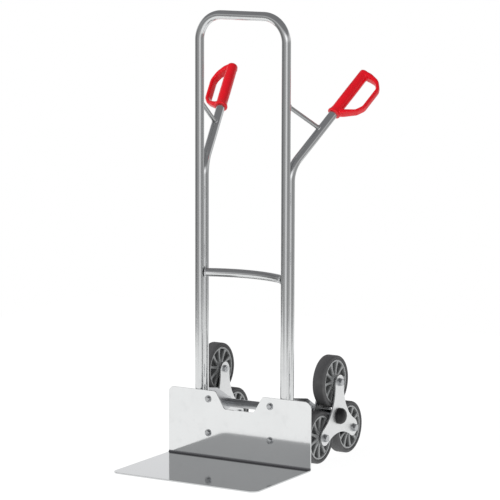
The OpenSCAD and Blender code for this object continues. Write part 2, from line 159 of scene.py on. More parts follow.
class Graph:
    """Builder for the nodes of one material or world."""

    def __init__(self, tree: bpy.types.NodeTree) -> None:
        self.tree = tree
        tree.nodes.clear()

    def raw(self, kind: str, settings: dict | None = None, inputs: dict | None = None) -> bpy.types.Node:
        """Adds one node.

        Args:
            kind: Node type name.
            settings: Node properties, set before the inputs; "stops" fills a colour ramp.
            inputs: Socket name or index to a number, colour, Value or socket.

        Returns:
            The new node.
        """
        node = self.tree.nodes.new(kind)
        for key, val in (settings or {}).items():
            if key == "stops":
                ramp = node.color_ramp
                while len(ramp.elements) > 1:
                    ramp.elements.remove(ramp.elements[-1])
                ramp.elements[0].position = val[0][0]
                ramp.elements[0].color = val[0][1]
                for place, colour in val[1:]:
                    ramp.elements.new(place).color = colour
            else:
                setattr(node, key, val)
        for key, val in (inputs or {}).items():
            socket = val.socket if isinstance(val, Value) else val
            if isinstance(socket, bpy.types.NodeSocket):
                self.tree.links.new(socket, node.inputs[key])
            else:
                node.inputs[key].default_value = socket
        return node

    def node(self, kind: str, settings: dict | None = None, inputs: dict | None = None,
             out: str | int = 0) -> Value:
        """Adds one node and wraps one of its outputs."""
        return Value(self, self.raw(kind, settings, inputs).outputs[out])

    def place(self, scale: Sequence[float] = (1, 1, 1), turn: Sequence[float] = (0, 0, 0)) -> Value:
        """Object coordinates, scaled and turned."""
        coords = self.node("ShaderNodeTexCoord", out="Object")
        return self.node("ShaderNodeMapping", {}, {"Vector": coords, "Scale": scale, "Rotation": turn})

    def noise(self, where: Value, scale: float, detail: float = 3.0, rough: float = 0.5) -> Value:
        """Noise about 0.5 at a scale given in waves per metre."""
        inputs = {"Vector": where, "Scale": scale, "Detail": detail, "Roughness": rough}
        return self.node("ShaderNodeTexNoise", {}, inputs)

    def parts(self, vector: Value) -> tuple[Value, Value, Value]:
        """Splits a vector into its three parts."""
        split = self.raw("ShaderNodeSeparateXYZ", {}, {0: vector})
        return Value(self, split.outputs[0]), Value(self, split.outputs[1]), Value(self, split.outputs[2])

    def blend(self, amount: "Value | float", low: "Sequence[float] | Value",
              high: "Sequence[float] | Value") -> Value:
        """Mixes two colours, each given as three numbers or as another node's output."""
        low, high = (c if isinstance(c, Value) else (*c, 1.0) for c in (low, high))
        return self.node("ShaderNodeMix", {"data_type": "RGBA"}, {0: amount, 6: low, 7: high}, out=2)

    def bump(self, height: Value, distance: float) -> Value:
        """Turns a height into a normal; distance is the relief in metres."""
        return self.node("ShaderNodeBump", {}, {"Height": height, "Distance": distance, "Strength": 1.0})

    def surface(self, inputs: dict) -> None:
        """Ends the graph in one Principled shader."""
        shader = self.raw("ShaderNodeBsdfPrincipled", {}, inputs)
        output = self.raw("ShaderNodeOutputMaterial")
        self.tree.links.new(shader.outputs[0], output.inputs[0])


# ---------------------------------------------------------------- finishes


def new_graph(name: str) -> tuple[bpy.types.Material, Graph]:
    """Makes an empty node material."""
    material = bpy.data.materials.new(name)
    material.use_nodes = True
    return material, Graph(material.node_tree)


@dataclass(frozen=True)
class Finish:
    """What every finish has: a name, a main colour and a way to build it."""

    name: str
    colour: Colour

    def inputs(self, g: Graph) -> dict:
        """Adds the finish's own nodes.

        Args:
            g: Graph of the new material.

        Returns:
            The inputs of the Principled shader.
        """
        raise NotImplementedError

    def build(self) -> bpy.types.Material:
        """Builds the material."""
        material, g = new_graph(self.name)
        g.surface(self.inputs(g))
        return material


@dataclass(frozen=True)
class MetalFinish(Finish):
    """Bare metal with drawn or rolled grain, faint scratches and uneven polish."""

    stain: Colour
    rough: float
    rough_spread: float = 0.05
    grain: tuple[float, float, float] = (1.0, 1.0, 1.0)
    grain_scale: float = 900.0
    grain_depth: float = 0.004
    scratch: float = 0.25

    def inputs(self, g: Graph) -> dict:
        """Adds the finish's own nodes."""
        plain = g.place()
        cloud = g.noise(plain, 9.0, 3.0)
        smudge = g.noise(plain, 42.0, 4.0, 0.6)
        grain = g.noise(g.place(scale=self.grain), self.grain_scale, 2.0)
        hair = g.noise(g.place(scale=(18.0, 2.0, 3.0), turn=(0.4, 0.9, 0.3)), 60.0, 2.0)
        line = 1.0 - abs(hair - 0.5).step(0.0, 0.006)
        dirt = (smudge.step(0.55, 0.78) * 0.6 + cloud.step(0.5, 0.75) * 0.4).clamp()
        rough = self.rough + (cloud - 0.5) * self.rough_spread + (grain - 0.5) * self.rough_spread
        rough = rough + line * (self.scratch * 0.25) + dirt * 0.03
        height = (grain - 0.5) * 0.8 - line * (self.scratch * 0.8)
        return {
            "Base Color": g.blend(dirt, self.colour, self.stain),
            "Metallic": 1.0,
            "Roughness": rough.clamp(),
            "Normal": g.bump(height, self.grain_depth * MM),
        }


@dataclass(frozen=True)
class SheetFinish(Finish):
    """Polished sheet, darker and more scratched on the toe, with painted shade in a rougher band along its
    fold.
    """

    toe: Colour
    crease: Colour
    fold: tuple[float, float]
    toe_top: float
    rough: float = 0.07

    def inputs(self, g: Graph) -> dict:
        """Adds the finish's own nodes."""
        plain = g.place()
        _, y, z = g.parts(plain)
        away = ((y - self.fold[0]) ** 2.0 + (z - self.fold[1]) ** 2.0) ** 0.5
        # Painted shade: a dark band along the fold, also rougher than the sheet around it.
        fold_shade_band = 1.0 - away.step(0.0035, 0.0058)
        on_toe = 1.0 - z.step(self.toe_top - 0.002, self.toe_top + 0.002)
        cloud = g.noise(plain, 7.0, 3.0)
        smudge = g.noise(plain, 36.0, 4.0, 0.6)
        grain = g.noise(g.place(scale=(0.02, 1.0, 1.0)), 1300.0, 2.0)
        hair = g.noise(g.place(scale=(3.0, 16.0, 2.0), turn=(0.3, 0.2, 0.5)), 60.0, 2.0)
        line = (1.0 - abs(hair - 0.5).step(0.0, 0.005)) * (0.35 + on_toe * 0.65)
        wear = (smudge.step(0.5, 0.75) * 0.5 + cloud.step(0.45, 0.75) * 0.5) * 0.35
        worn = g.blend(wear, g.blend(on_toe, self.colour, self.toe), self.toe)
        rough = self.rough + (cloud - 0.5) * 0.03 + line * 0.04 + fold_shade_band * 0.22 + (grain - 0.5) * 0.03
        return {
            "Base Color": g.blend(fold_shade_band * 0.9, worn, self.crease),
            "Metallic": 1.0,
            "Roughness": rough.clamp(),
            "Normal": g.bump((grain - 0.5) * 0.8 - line * 0.2, 0.0012 * MM),
        }


@dataclass(frozen=True)
class PlasticFinish(Finish):
    """Moulded plastic with a fine skin, faint scuffs and a soft sheen."""

    worn: Colour
    rough: float
    skin: float = 1400.0
    skin_depth: float = 0.02
    specular: float = 0.5

    def inputs(self, g: Graph) -> dict:
        """Adds the finish's own nodes."""
        plain = g.place()
        cloud = g.noise(plain, 14.0, 3.0)
        skin = g.noise(plain, self.skin, 2.0)
        scuff = g.noise(g.place(scale=(6.0, 1.5, 2.0), turn=(0.5, 0.2, 0.7)), 90.0, 3.0, 0.6)
        worn = (scuff.step(0.6, 0.74) * 0.7 + cloud.step(0.55, 0.8) * 0.3).clamp()
        rough = self.rough + (cloud - 0.5) * 0.08 + worn * 0.08 + (skin - 0.5) * 0.05
        return {
            "Base Color": g.blend(worn * 0.6, self.colour, self.worn),
            "Roughness": rough.clamp(),
            "Specular IOR Level": self.specular,
            "Normal": g.bump(skin - worn * 0.3, self.skin_depth * MM),
        }


@dataclass(frozen=True)
class RubberFinish(Finish):
    """Matt rubber with dust in its grain and paler specks."""

    dust: Colour
    rough: float = 0.62

    def inputs(self, g: Graph) -> dict:
        """Adds the finish's own nodes."""
        plain = g.place()
        cloud = g.noise(plain, 22.0, 4.0, 0.6)
        fine = g.noise(plain, 900.0, 3.0)
        speck = g.noise(plain, 260.0, 2.0).step(0.62, 0.72)
        dust = (cloud.step(0.45, 0.75) * 0.55 + speck * 0.3).clamp()
        return {
            "Base Color": g.blend(dust, self.colour, self.dust),
            "Roughness": (self.rough + (cloud - 0.5) * 0.12 + (fine - 0.5) * 0.06).clamp(),
            "Specular IOR Level": 0.35,
            "Normal": g.bump(fine + speck * 0.4, 0.05 * MM),
        }


@dataclass(frozen=True)
class RimFinish(Finish):
    """Cast wheel centre with painted shade: its pockets are darker than its ribs, in bands beside the wheel's
    middle.
    """

    pocket: Colour
    wheel_x: float
    face: float

    def inputs(self, g: Graph) -> dict:
        """Adds the finish's own nodes."""
        plain = g.place()
        # Painted shade: the colour darkens with depth into the pockets, towards the wheel's middle plane.
        depth = abs(abs(g.parts(plain)[0]) - self.wheel_x)
        recess_shade = 1.0 - depth.step(self.face * 0.35, self.face * 0.97)
        cloud = g.noise(plain, 30.0, 3.0)
        skin = g.noise(plain, 1100.0, 2.0)
        shade = (recess_shade + (cloud - 0.5) * 0.25).clamp()
        return {
            "Base Color": g.blend(shade, self.colour, self.pocket),
            "Roughness": (0.4 + (cloud - 0.5) * 0.15 + shade * 0.2).clamp(),
            "Metallic": 0.25,
            "Normal": g.bump(skin, 0.03 * MM),
        }


class Finishes:
    """Every finish on the truck, each built once."""

    def __init__(self, wheel_x: float, rim_face: float) -> None:
        dull = (0.58, 0.59, 0.60)
        steel = (0.44, 0.45, 0.46)
        kinds = {
            Slot.TUBE: MetalFinish("polished_tube", (0.66, 0.67, 0.67), dull, 0.16, 0.06,
                                   (1.0, 1.0, 0.03), 1500.0, 0.003),
            Slot.BRACE: MetalFinish("drawn_rod", (0.36, 0.37, 0.37), (0.30, 0.30, 0.30), 0.30, 0.08,
                                    (1.0, 1.0, 0.2)),
            # The nose sheet's darkest colour is painted shade along its fold.
            Slot.NOSE: SheetFinish("rolled_sheet", (0.74, 0.75, 0.75), (0.57, 0.58, 0.585),
                                   crease=(0.26, 0.26, 0.27), fold=(-0.0248, 0.005), toe_top=0.0085),
            Slot.BRACKET: MetalFinish("mill_plate", (0.55, 0.56, 0.57), dull, 0.34, 0.1,
                                      (0.3, 1.0, 1.0), 700.0),
            Slot.AXLE: MetalFinish("turned_steel", steel, (0.36, 0.35, 0.34), 0.28, 0.1,
                                   (0.1, 1.0, 1.0), 1200.0),
            Slot.BOLT: MetalFinish("zinc_bolt", steel, (0.42, 0.42, 0.41), 0.24, 0.1, grain_scale=1400.0),
            Slot.WELD: MetalFinish("weld_bead", (0.74, 0.75, 0.76), dull, 0.32, 0.12, grain_scale=500.0,
                                   grain_depth=0.05),
            Slot.STAR: MetalFinish("satin_star", (0.76, 0.77, 0.77), (0.70, 0.71, 0.71), 0.38, 0.1,
                                   (1.0, 0.08, 1.0), 900.0, 0.006, 0.3),
            Slot.BEARING: MetalFinish("bearing_steel", steel, (0.52, 0.50, 0.48), 0.2, 0.08,
                                      grain_scale=1200.0),
            Slot.GRIP: PlasticFinish("red_grip", (0.74, 0.004, 0.013), (0.70, 0.008, 0.018), 0.24,
                                     skin_depth=0.005, specular=0.42),
            Slot.BLACK: PlasticFinish("black_plastic", (0.008, 0.008, 0.009), (0.02, 0.02, 0.02), 0.36,
                                      specular=0.3),
            # The rim's darker colour is painted shade for its pockets.
            Slot.RIM: RimFinish("wheel_centre", (0.36, 0.37, 0.37), (0.15, 0.155, 0.155), wheel_x, rim_face),
            Slot.TYRE: RubberFinish("grey_rubber", (0.082, 0.082, 0.084), (0.14, 0.14, 0.138)),
        }
        self.built = {slot: kind.build() for slot, kind in kinds.items()}

    def dress(self, obj: bpy.types.Object, slot: Slot) -> None:
        """Gives a mesh one finish, on every face."""
        obj.data.materials.clear()
        obj.data.materials.append(self.built[slot])


# ---------------------------------------------------------------- modelling


class Piece:
    """One new mesh in the truck's own frame, shaped by mesh operators."""

    def __init__(self, name: str, obj: bpy.types.Object) -> None:
        self.obj = obj
        self.flats = False
        obj.name = name
        obj.data.name = name

    @staticmethod
    def fresh() -> None:
        """Goes to object mode with nothing selected."""
        if bpy.context.mode != "OBJECT":
            bpy.ops.object.mode_set(mode="OBJECT")
        bpy.ops.object.select_all(action="DESELECT")

    @classmethod
    def start(cls, name: str, primitive: Callable[..., set], **settings: object) -> "Piece":
        """Starts from a primitive that is made at its size and place.

        Args:
            name: Name of the piece.
            primitive: Operator that adds the mesh.
            settings: The operator's settings.

        Returns:
            The new piece.
        """
        cls.fresh()
        primitive(**settings)
        piece = cls(name, bpy.context.object)
        piece.settle()
        return piece

    @classmethod
    def ring(cls, name: str, radius: float, at: Vector, turn: Sequence[float], sides: int) -> "Piece":
        """Starts from an open ring of points, ready to be drawn along a path."""
        return cls.start(name, bpy.ops.mesh.primitive_circle_add, vertices=sides, radius=radius, location=at,
                         rotation=turn)

    @classmethod
    def from_node(cls, name: str, node: str) -> "Piece":
        """Starts from a merged copy of a CAD node's mesh."""
        cls.fresh()
        obj = bpy.data.objects.new(name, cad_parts[node].data.copy())
        bpy.context.scene.collection.objects.link(obj)
        obj.select_set(True)
        bpy.context.view_layer.objects.active = obj
        piece = cls(name, obj)
        piece.edit()
        bpy.ops.mesh.select_all(action="SELECT")
        bpy.ops.mesh.customdata_custom_splitnormals_clear()
        bpy.ops.mesh.remove_doubles(threshold=0.01 * MM)
        bpy.ops.mesh.dissolve_limited(angle_limit=math.radians(0.6))
        piece.leave()
        return piece

    def activate(self) -> None:
        """Makes this the only selected, active object."""
        self.fresh()
        self.obj.select_set(True)
        bpy.context.view_layer.objects.active = self.obj

    def edit(self) -> None:
        """Enters edit mode on this mesh."""
        self.activate()
        bpy.ops.object.mode_set(mode="EDIT")

    def leave(self) -> None:
        """Returns to object mode."""
        bpy.ops.object.mode_set(mode="OBJECT")

    def settle(self) -> None:
        """Moves the object's place, turn and scale into its mesh."""
        self.activate()
        bpy.ops.object.transform_apply(location=True, rotation=True, scale=True)

    def select_faces(self, corners: int) -> None:
        """Selects, in edit mode, only the faces with more than some number of corners."""
        bpy.ops.mesh.select_mode(type="FACE")
        bpy.ops.mesh.select_all(action="DESELECT")
        mesh = bmesh.from_edit_mesh(self.obj.data)
        for face in mesh.faces:
            face.select_set(len(face.verts) > corners)
        bmesh.update_edit_mesh(self.obj.data)

    def select_rim(self) -> None:
        """Selects, in edit mode, only the edges that have one face."""
        bpy.ops.mesh.select_all(action="DESELECT")
        mesh = bmesh.from_edit_mesh(self.obj.data)
        for edge in mesh.edges:
            edge.select_set(len(edge.link_faces) == 1)
        bmesh.update_edit_mesh(self.obj.data)

    def select_ring(self) -> None:
        """Selects, in edit mode, every edge of a new ring."""
        bpy.ops.mesh.select_mode(type="EDGE")
        bpy.ops.mesh.select_all(action="SELECT")

    def reshape(self, place: Callable[[Vector], Vector]) -> None:
        """Moves each selected point, in edit mode, to where a function puts it."""
        mesh = bmesh.from_edit_mesh(self.obj.data)
        for vert in mesh.verts:
            if vert.select:
                vert.co = place(vert.co.copy())
        bmesh.update_edit_mesh(self.obj.data)

    def cap_ends(self) -> "Piece":
        """Fills the open ends, leaves edit mode and closes the mesh up."""
        self.select_rim()
        bpy.ops.mesh.edge_face_add()
        self.leave()
        return self.close_up()

    def modify(self, kind: str, **settings: object) -> "Piece":
        """Adds a modifier and applies it."""
        self.activate()
        modifier = self.obj.modifiers.new(kind.lower(), kind)
        for key, val in settings.items():
            setattr(modifier, key, val)
        bpy.ops.object.modifier_apply(modifier=modifier.name)
        return self

    def soften(self, width: float, segments: int = 2, angle: float = 35.0) -> "Piece":
        """Rounds every edge sharper than an angle, and keeps the flats flat."""
        self.modify("BEVEL", width=width, segments=segments, limit_method="ANGLE",
                    angle_limit=math.radians(angle), harden_normals=False)
        self.flats = True
        return self

    def close_up(self) -> "Piece":
        """Merges doubles and points every face outwards."""
        self.edit()
        bpy.ops.mesh.select_all(action="SELECT")
        bpy.ops.mesh.remove_doubles(threshold=0.005 * MM)
        bpy.ops.mesh.normals_make_consistent(inside=False)
        self.leave()
        return self

    def join(self, others: Iterable["Piece"]) -> "Piece":
        """Joins other pieces into this one."""
        self.fresh()
        for other in others:
            other.obj.select_set(True)
        self.obj.select_set(True)
        bpy.context.view_layer.objects.active = self.obj
        bpy.ops.object.join()
        return self

    def copy(self, name: str, matrix: Matrix) -> "Piece":
        """Copies the mesh and moves the copy by a matrix, keeping faces outward."""
        obj = bpy.data.objects.new(name, self.obj.data.copy())
        bpy.context.scene.collection.objects.link(obj)
        obj.matrix_world = matrix
        twin = Piece(name, obj)
        twin.settle()
        if matrix.determinant() < 0:
            twin.close_up()
        return twin

    def scatter(self, name: str, matrices: Iterable[Matrix]) -> "Piece":
        """Turns the piece into one mesh of copies, one for each matrix."""
        copies = [self.copy(name, matrix) for matrix in matrices]
        bpy.data.objects.remove(self.obj)
        copies[0].join(copies[1:])
        copies[0].obj.name = name
        return copies[0]

    def finish(self, finishes: Finishes, slot: Slot, body: str, nodes: Sequence[str] = (),
               smooth: float = 32.0) -> None:
        """Shades and dresses the piece, and hands it to the frame.

        Args:
            finishes: The finishes to take from.
            slot: Material slot of the record.
            body: Body that the piece rides on.
            nodes: CAD nodes that the piece stands for.
            smooth: Edges flatter than this many degrees are shaded smooth.
        """
        self.activate()
        bpy.ops.object.shade_smooth_by_angle(angle=math.radians(smooth))
        if self.flats:
            self.modify("WEIGHTED_NORMAL", mode="FACE_AREA", weight=100, keep_sharp=True)
        finishes.dress(self.obj, slot)
        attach(self.obj, body)
        if nodes:
            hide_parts(*nodes)
        log.info("%s: %d faces on %s", self.obj.name, len(self.obj.data.polygons), body)


def arc(along: float, out: float, radius: float, angles: Iterable[float], tall: float = 1.0) -> list[tuple]:
    """Points along an arc, as stations for a lathe.

    Args:
        along: Distance along the axis of the arc's middle.
        out: Distance from the axis of the arc's middle.
        radius: Radius of the arc.
        angles: Angles of the points from the axis, in degrees.
        tall: Stretch of the arc along the axis.

    Returns:
        The points as (distance along the axis, radius).
    """
    turns = [math.radians(angle) for angle in angles]
    return [(along + radius * tall * math.cos(a), out + radius * math.sin(a)) for a in turns]


def mirrored(side: Sequence[tuple], shared: int = 0) -> list[tuple]:
    """Adds the other half of a profile, leaving out the last points that both halves share."""
    return [*side, *((-x, r) for x, r in reversed(side[:len(side) - shared]))]


def lathe(name: str, profile: Sequence[tuple], centre: Vector, axis: Axis = Axis.X, sides: int = 72,
          closed: bool = False, sign: int = 1) -> Piece:
    """Turns a profile about an axis by drawing a ring from station to station.

    Args:
        name: Name of the piece.
        profile: Stations as (distance along the axis, radius), in millimetres.
        centre: Point on the axis where the distance is 0, in metres.
        axis: Axis of turning.
        sides: Number of points in each ring.
        closed: Whether the last ring joins the first; otherwise both ends are filled.
        sign: -1 to turn the profile's distances the other way.

    Returns:
        The turned piece.
    """
    stations = [(sign * place * MM, out * MM) for place, out in profile]
    along, radius = stations[0]
    piece = Piece.ring(name, radius, centre + axis.direction * along, axis.turn, sides)
    piece.edit()
    piece.select_ring()
    if not closed:
        bpy.ops.mesh.edge_face_add()
    for to_along, to_radius in stations[1:]:
        step = axis.direction * (to_along - along)
        bpy.ops.mesh.extrude_region_move(TRANSFORM_OT_translate={"value": step})
        if abs(to_radius - radius) > 1e-9:
            scale = to_radius / radius
            ratio = [1.0 if part else scale for part in axis.direction]
            bpy.ops.transform.resize(value=ratio, center_override=centre + axis.direction * to_along)
        along, radius = to_along, to_radius
    if closed:
        piece.select_rim()
        bpy.ops.mesh.bridge_edge_loops()
    piece.leave()
    return piece.close_up()


@dataclass(frozen=True)
class Run:
    """A straight run of a path, in metres."""

    length: float


@dataclass(frozen=True)
class Bend:
    """A bend of a path about a point, in the part's frame."""

    centre: Vector
    axis: Vector
    angle: float
    steps: int = 24


def draw_path(name: str, start: Vector, heading: Vector, radius: float, moves: Sequence["Run | Bend"],
              sides: int) -> Piece:
    """Draws a round section along straight runs and bends.

    Args:
        name: Name of the piece.
        start: Where the path starts.
        heading: Direction in which it starts.
        radius: Radius of the section.
        moves: The runs and bends in order.
        sides: Number of points in the section.

    Returns:
        The closed piece with filled ends.
    """
    turn = heading.to_track_quat("Z", "Y").to_euler()
    piece = Piece.ring(name, radius, start, turn, sides)
    piece.edit()
    piece.select_ring()
    way = heading.normalized()
    for move in moves:
        if isinstance(move, Run):
            bpy.ops.mesh.extrude_region_move(TRANSFORM_OT_translate={"value": way * move.length})
        else:
            bpy.ops.mesh.spin(steps=move.steps, angle=-move.angle, center=move.centre, axis=move.axis)
            way = Matrix.Rotation(move.angle, 3, move.axis) @ way
    return piece.cap_ends()


# ---------------------------------------------------------------- the truck


@dataclass(frozen=True)
class Layout:
    """Sizes that several sub-assemblies share, in millimetres, in the part's own coordinates."""

    frame_h: float = 1300.0
    spacing: float = 286.0
    tube_d: float = 26.0
    nose_t: float = 4.0
    mid_y: float = 23.80127
    axle_back: float = 193.0
    axle_z: float = 126.0
    star_r: float = 100.0
    wheel_x: float = 194.0
    star_outer_x: float = 225.0
    star_inner_x: float = 163.0
    arms: tuple[tuple[str, float], ...] = (("top", 90.0), ("front", 210.0), ("rear", 330.0))

    @property
    def upright_y(self) -> float:
        """Depth of the uprights' axis."""
        return self.nose_t + self.tube_d / 2

    @property
    def handle_y(self) -> float:
        """Depth of the lower handle tubes' axis."""
        return self.upright_y + self.tube_d

    def at(self, x: float, y: float, z: float) -> Vector:
        """A point given in millimetres, in the shared frame in metres."""
        return Vector((x, y - self.mid_y, z)) * MM

    def axle(self, side: Side, x: float) -> Vector:
        """A point on the axle."""
        return self.at(side.value * x, self.axle_back, self.axle_z)

    def wheel(self, side: Side, angle: float, x: float) -> Vector:
        """A point on a wheel's own axis."""
        a = math.radians(angle)
        return self.axle(side, x) + Vector((0, math.cos(a), math.sin(a))) * self.star_r * MM


LAYOUT = Layout()


@dataclass
class TubeFrame:
    """Uprights, top loop, handle tubes, braces, crossbar and their welds."""

    finishes: Finishes
    wall: float = 2.0
    loop_bend: float = 73.0
    foot_z: float = 22.0
    handle_foot_z: float = 40.0
    corner_z: float = 858.0
    handle_bend: float = 80.0
    tilt: float = 50.1
    swing: float = 15.5
    tube_end: float = 391.0
    brace_d: float = 12.5
    brace_z: float = 1042.0
    brace_reach: float = 159.0
    bar_z: float = 541.0
    bar_d: float = 25.0
    bar_bow: float = 42.0
    groove_r: float = 2.0
    seam_length: float = 34.0
    seam_pitch: float = 2.6
    ripples: int = 18
    ripple: float = 0.035

    def hollow(self, piece: Piece) -> Piece:
        """Opens both ends of a solid rod and gives it the tube's wall."""
        piece.edit()
        piece.select_faces(corners=4)
        bpy.ops.mesh.delete(type="ONLY_FACE")
        piece.leave()
        return piece.modify("SOLIDIFY", thickness=self.wall * MM, offset=-1.0, use_even_offset=True)

    def main_tube(self) -> None:
        """The bent tube that makes both uprights and the top loop."""
        half, bend = LAYOUT.spacing / 2, self.loop_bend
        loop_z = LAYOUT.frame_h - LAYOUT.tube_d / 2
        corner = loop_z - bend
        y_axis = Vector((0, 1, 0))
        moves = [
            Run((corner - self.foot_z) * MM),
            Bend(LAYOUT.at(-half + bend, LAYOUT.upright_y, corner), y_axis, math.pi / 2, 28),
            Run(2 * (half - bend) * MM),
            Bend(LAYOUT.at(half - bend, LAYOUT.upright_y, corner), y_axis, math.pi / 2, 28),
            Run((corner - self.foot_z) * MM),
        ]
        start = LAYOUT.at(-half, LAYOUT.upright_y, self.foot_z)
        tube = draw_path("main_tube", start, UP, LAYOUT.tube_d / 2 * MM, moves, 64)
        self.hollow(tube).finish(self.finishes, Slot.TUBE, "frame", ["frame_tube"])

    def handle_axes(self, side: Side) -> tuple[Vector, Vector]:
        """Direction of the upper handle tube and the axis that its bend turns about."""
        swing, tilt = math.radians(self.swing), math.radians(self.tilt)
        back = Vector((side.value * math.sin(swing), math.cos(swing), 0))
        direction = back * math.sin(tilt) + Vector((0, 0, math.cos(tilt)))
        return direction, UP.cross(back)

    def handle_tube(self, side: Side) -> None:
        """One handle tube with its bend."""
        half = side.value * LAYOUT.spacing / 2
        tilt = math.radians(self.tilt)
        tangent = self.handle_bend * math.tan(tilt / 2)
        direction, axis = self.handle_axes(side)
        back = (direction - Vector((0, 0, math.cos(tilt)))).normalized()
        start = LAYOUT.at(half, LAYOUT.handle_y, self.handle_foot_z)
        bend_start = LAYOUT.at(half, LAYOUT.handle_y, self.corner_z - tangent)
        moves = [
            Run((self.corner_z - tangent - self.handle_foot_z) * MM),
            Bend(bend_start + back * self.handle_bend * MM, axis, tilt, 20),
            Run((self.tube_end - tangent) * MM),
        ]
        tube = draw_path(f"handle_bend_{side.tag}", start, UP,
                         LAYOUT.tube_d / 2 * MM, moves, 64)
        self.hollow(tube).finish(self.finishes, Slot.TUBE, "frame", [f"handle_tube_{side.tag}"])

    def brace(self, side: Side) -> None:
        """The thin rod between an upright and its handle tube, with a weld collar at each end."""
        half = side.value * LAYOUT.spacing / 2
        direction, _ = self.handle_axes(side)
        low = LAYOUT.at(half, LAYOUT.upright_y, self.brace_z)
        high = LAYOUT.at(half, LAYOUT.handle_y, self.corner_z) + direction * self.brace_reach * MM
        way = (high - low).normalized()
        reach = LAYOUT.tube_d / 2 * MM * 0.9
        start, end = low + way * reach, high - way * reach
        radius = self.brace_d / 2 * MM
        rod = draw_path(f"brace_{side.tag}", start, way, radius, [Run((end - start).length)], 32)
        rod.finish(self.finishes, Slot.BRACE, "frame", [f"handle_brace_{side.tag}"])
        for label, spot in (("low", start + way * 2.4 * MM), ("high", end - way * 2.4 * MM)):
            self.weld_ring(f"brace_weld_{side.tag}_{label}", spot, way, radius + 0.5 * MM, 1.7 * MM)

    def weld_ring(self, name: str, spot: Vector, way: Vector, major: float, minor: float) -> None:
        """A rippled bead around the end of a rod."""
        bead = Piece.start(name, bpy.ops.mesh.primitive_torus_add, location=spot,
                           rotation=way.to_track_quat("Z", "Y").to_euler(), major_segments=72,
                           minor_segments=12, major_radius=major, minor_radius=minor)
        across = way.orthogonal().normalized()
        other = way.cross(across)

        def rippled(point: Vector) -> Vector:
            arm = point - spot
            angle = math.atan2(arm.dot(other), arm.dot(across))
            return spot + arm * (1.0 + self.ripple * math.sin(angle * self.ripples))

        bead.edit()
        bpy.ops.mesh.select_all(action="SELECT")
        bead.reshape(rippled)
        bead.leave()
        bead.finish(self.finishes, Slot.WELD, "frame")

    def crossbar(self) -> None:
        """The bowed tube between the uprights, with a bead at each end."""
        half = LAYOUT.spacing / 2
        radius = (half * half + self.bar_bow**2) / (2 * self.bar_bow)
        centre = LAYOUT.at(0, LAYOUT.upright_y + self.bar_bow - radius, self.bar_z)
        reach = math.asin((half - LAYOUT.tube_d * 0.42) / radius)
        start = centre + Vector((-math.sin(reach), math.cos(reach), 0)) * radius * MM
        heading = Vector((math.cos(reach), math.sin(reach), 0))
        bend = Bend(centre, Vector((0, 0, -1)), 2 * reach, 40)
        bar = draw_path("bowed_bar", start, heading, self.bar_d / 2 * MM, [bend], 64)
        self.hollow(bar).finish(self.finishes, Slot.TUBE, "frame", ["crossbar"])
        bead_reach = math.asin((half - LAYOUT.tube_d / 2 - 0.5) / radius)
        for side in Side:
            spot = centre + Vector((side.value * math.sin(bead_reach), math.cos(bead_reach), 0)) * radius * MM
            way = Vector((math.cos(bead_reach), -side.value * math.sin(bead_reach), 0))
            self.weld_ring(f"bar_weld_{side.tag}", spot, way, self.bar_d / 2 * MM + 0.2 * MM, 1.9 * MM)

    def seams(self) -> None:
        """Short stacked beads in the grooves between each upright and its handle tube."""
        tangent = self.handle_bend * math.tan(math.radians(self.tilt) / 2)
        heights = (250.0, self.bar_z + 60, self.corner_z - tangent - 50)
        groove_x = math.sqrt(self.groove_r * (self.groove_r + LAYOUT.tube_d))
        y = LAYOUT.upright_y + LAYOUT.tube_d / 2
        count = int(self.seam_length / self.seam_pitch)
        drop = Piece.start("drop", bpy.ops.mesh.primitive_uv_sphere_add, segments=20, ring_count=12,
                           radius=self.groove_r * 1.05 * MM)
        spots = [LAYOUT.at(side.value * LAYOUT.spacing / 2 + groove * groove_x, y,
                           z - self.seam_length / 2 + i * self.seam_pitch)
                 for side in Side for groove in (-1, 1) for z in heights for i in range(count + 1)]
        beads = drop.scatter("weld_beads", [Matrix.Translation(spot) for spot in spots])
        beads.finish(self.finishes, Slot.WELD, "frame", ["weld_seams"])

    def build(self) -> None:
        """Builds every piece of the tube frame."""
        self.main_tube()
        for side in Side:
            self.handle_tube(side)
            self.brace(side)
        self.crossbar()
        self.seams()
        plugs = Piece.from_node("foot_plugs", "tube_plugs").soften(0.8 * MM, 3)
        plugs.finish(self.finishes, Slot.BLACK, "frame", ["tube_plugs"])


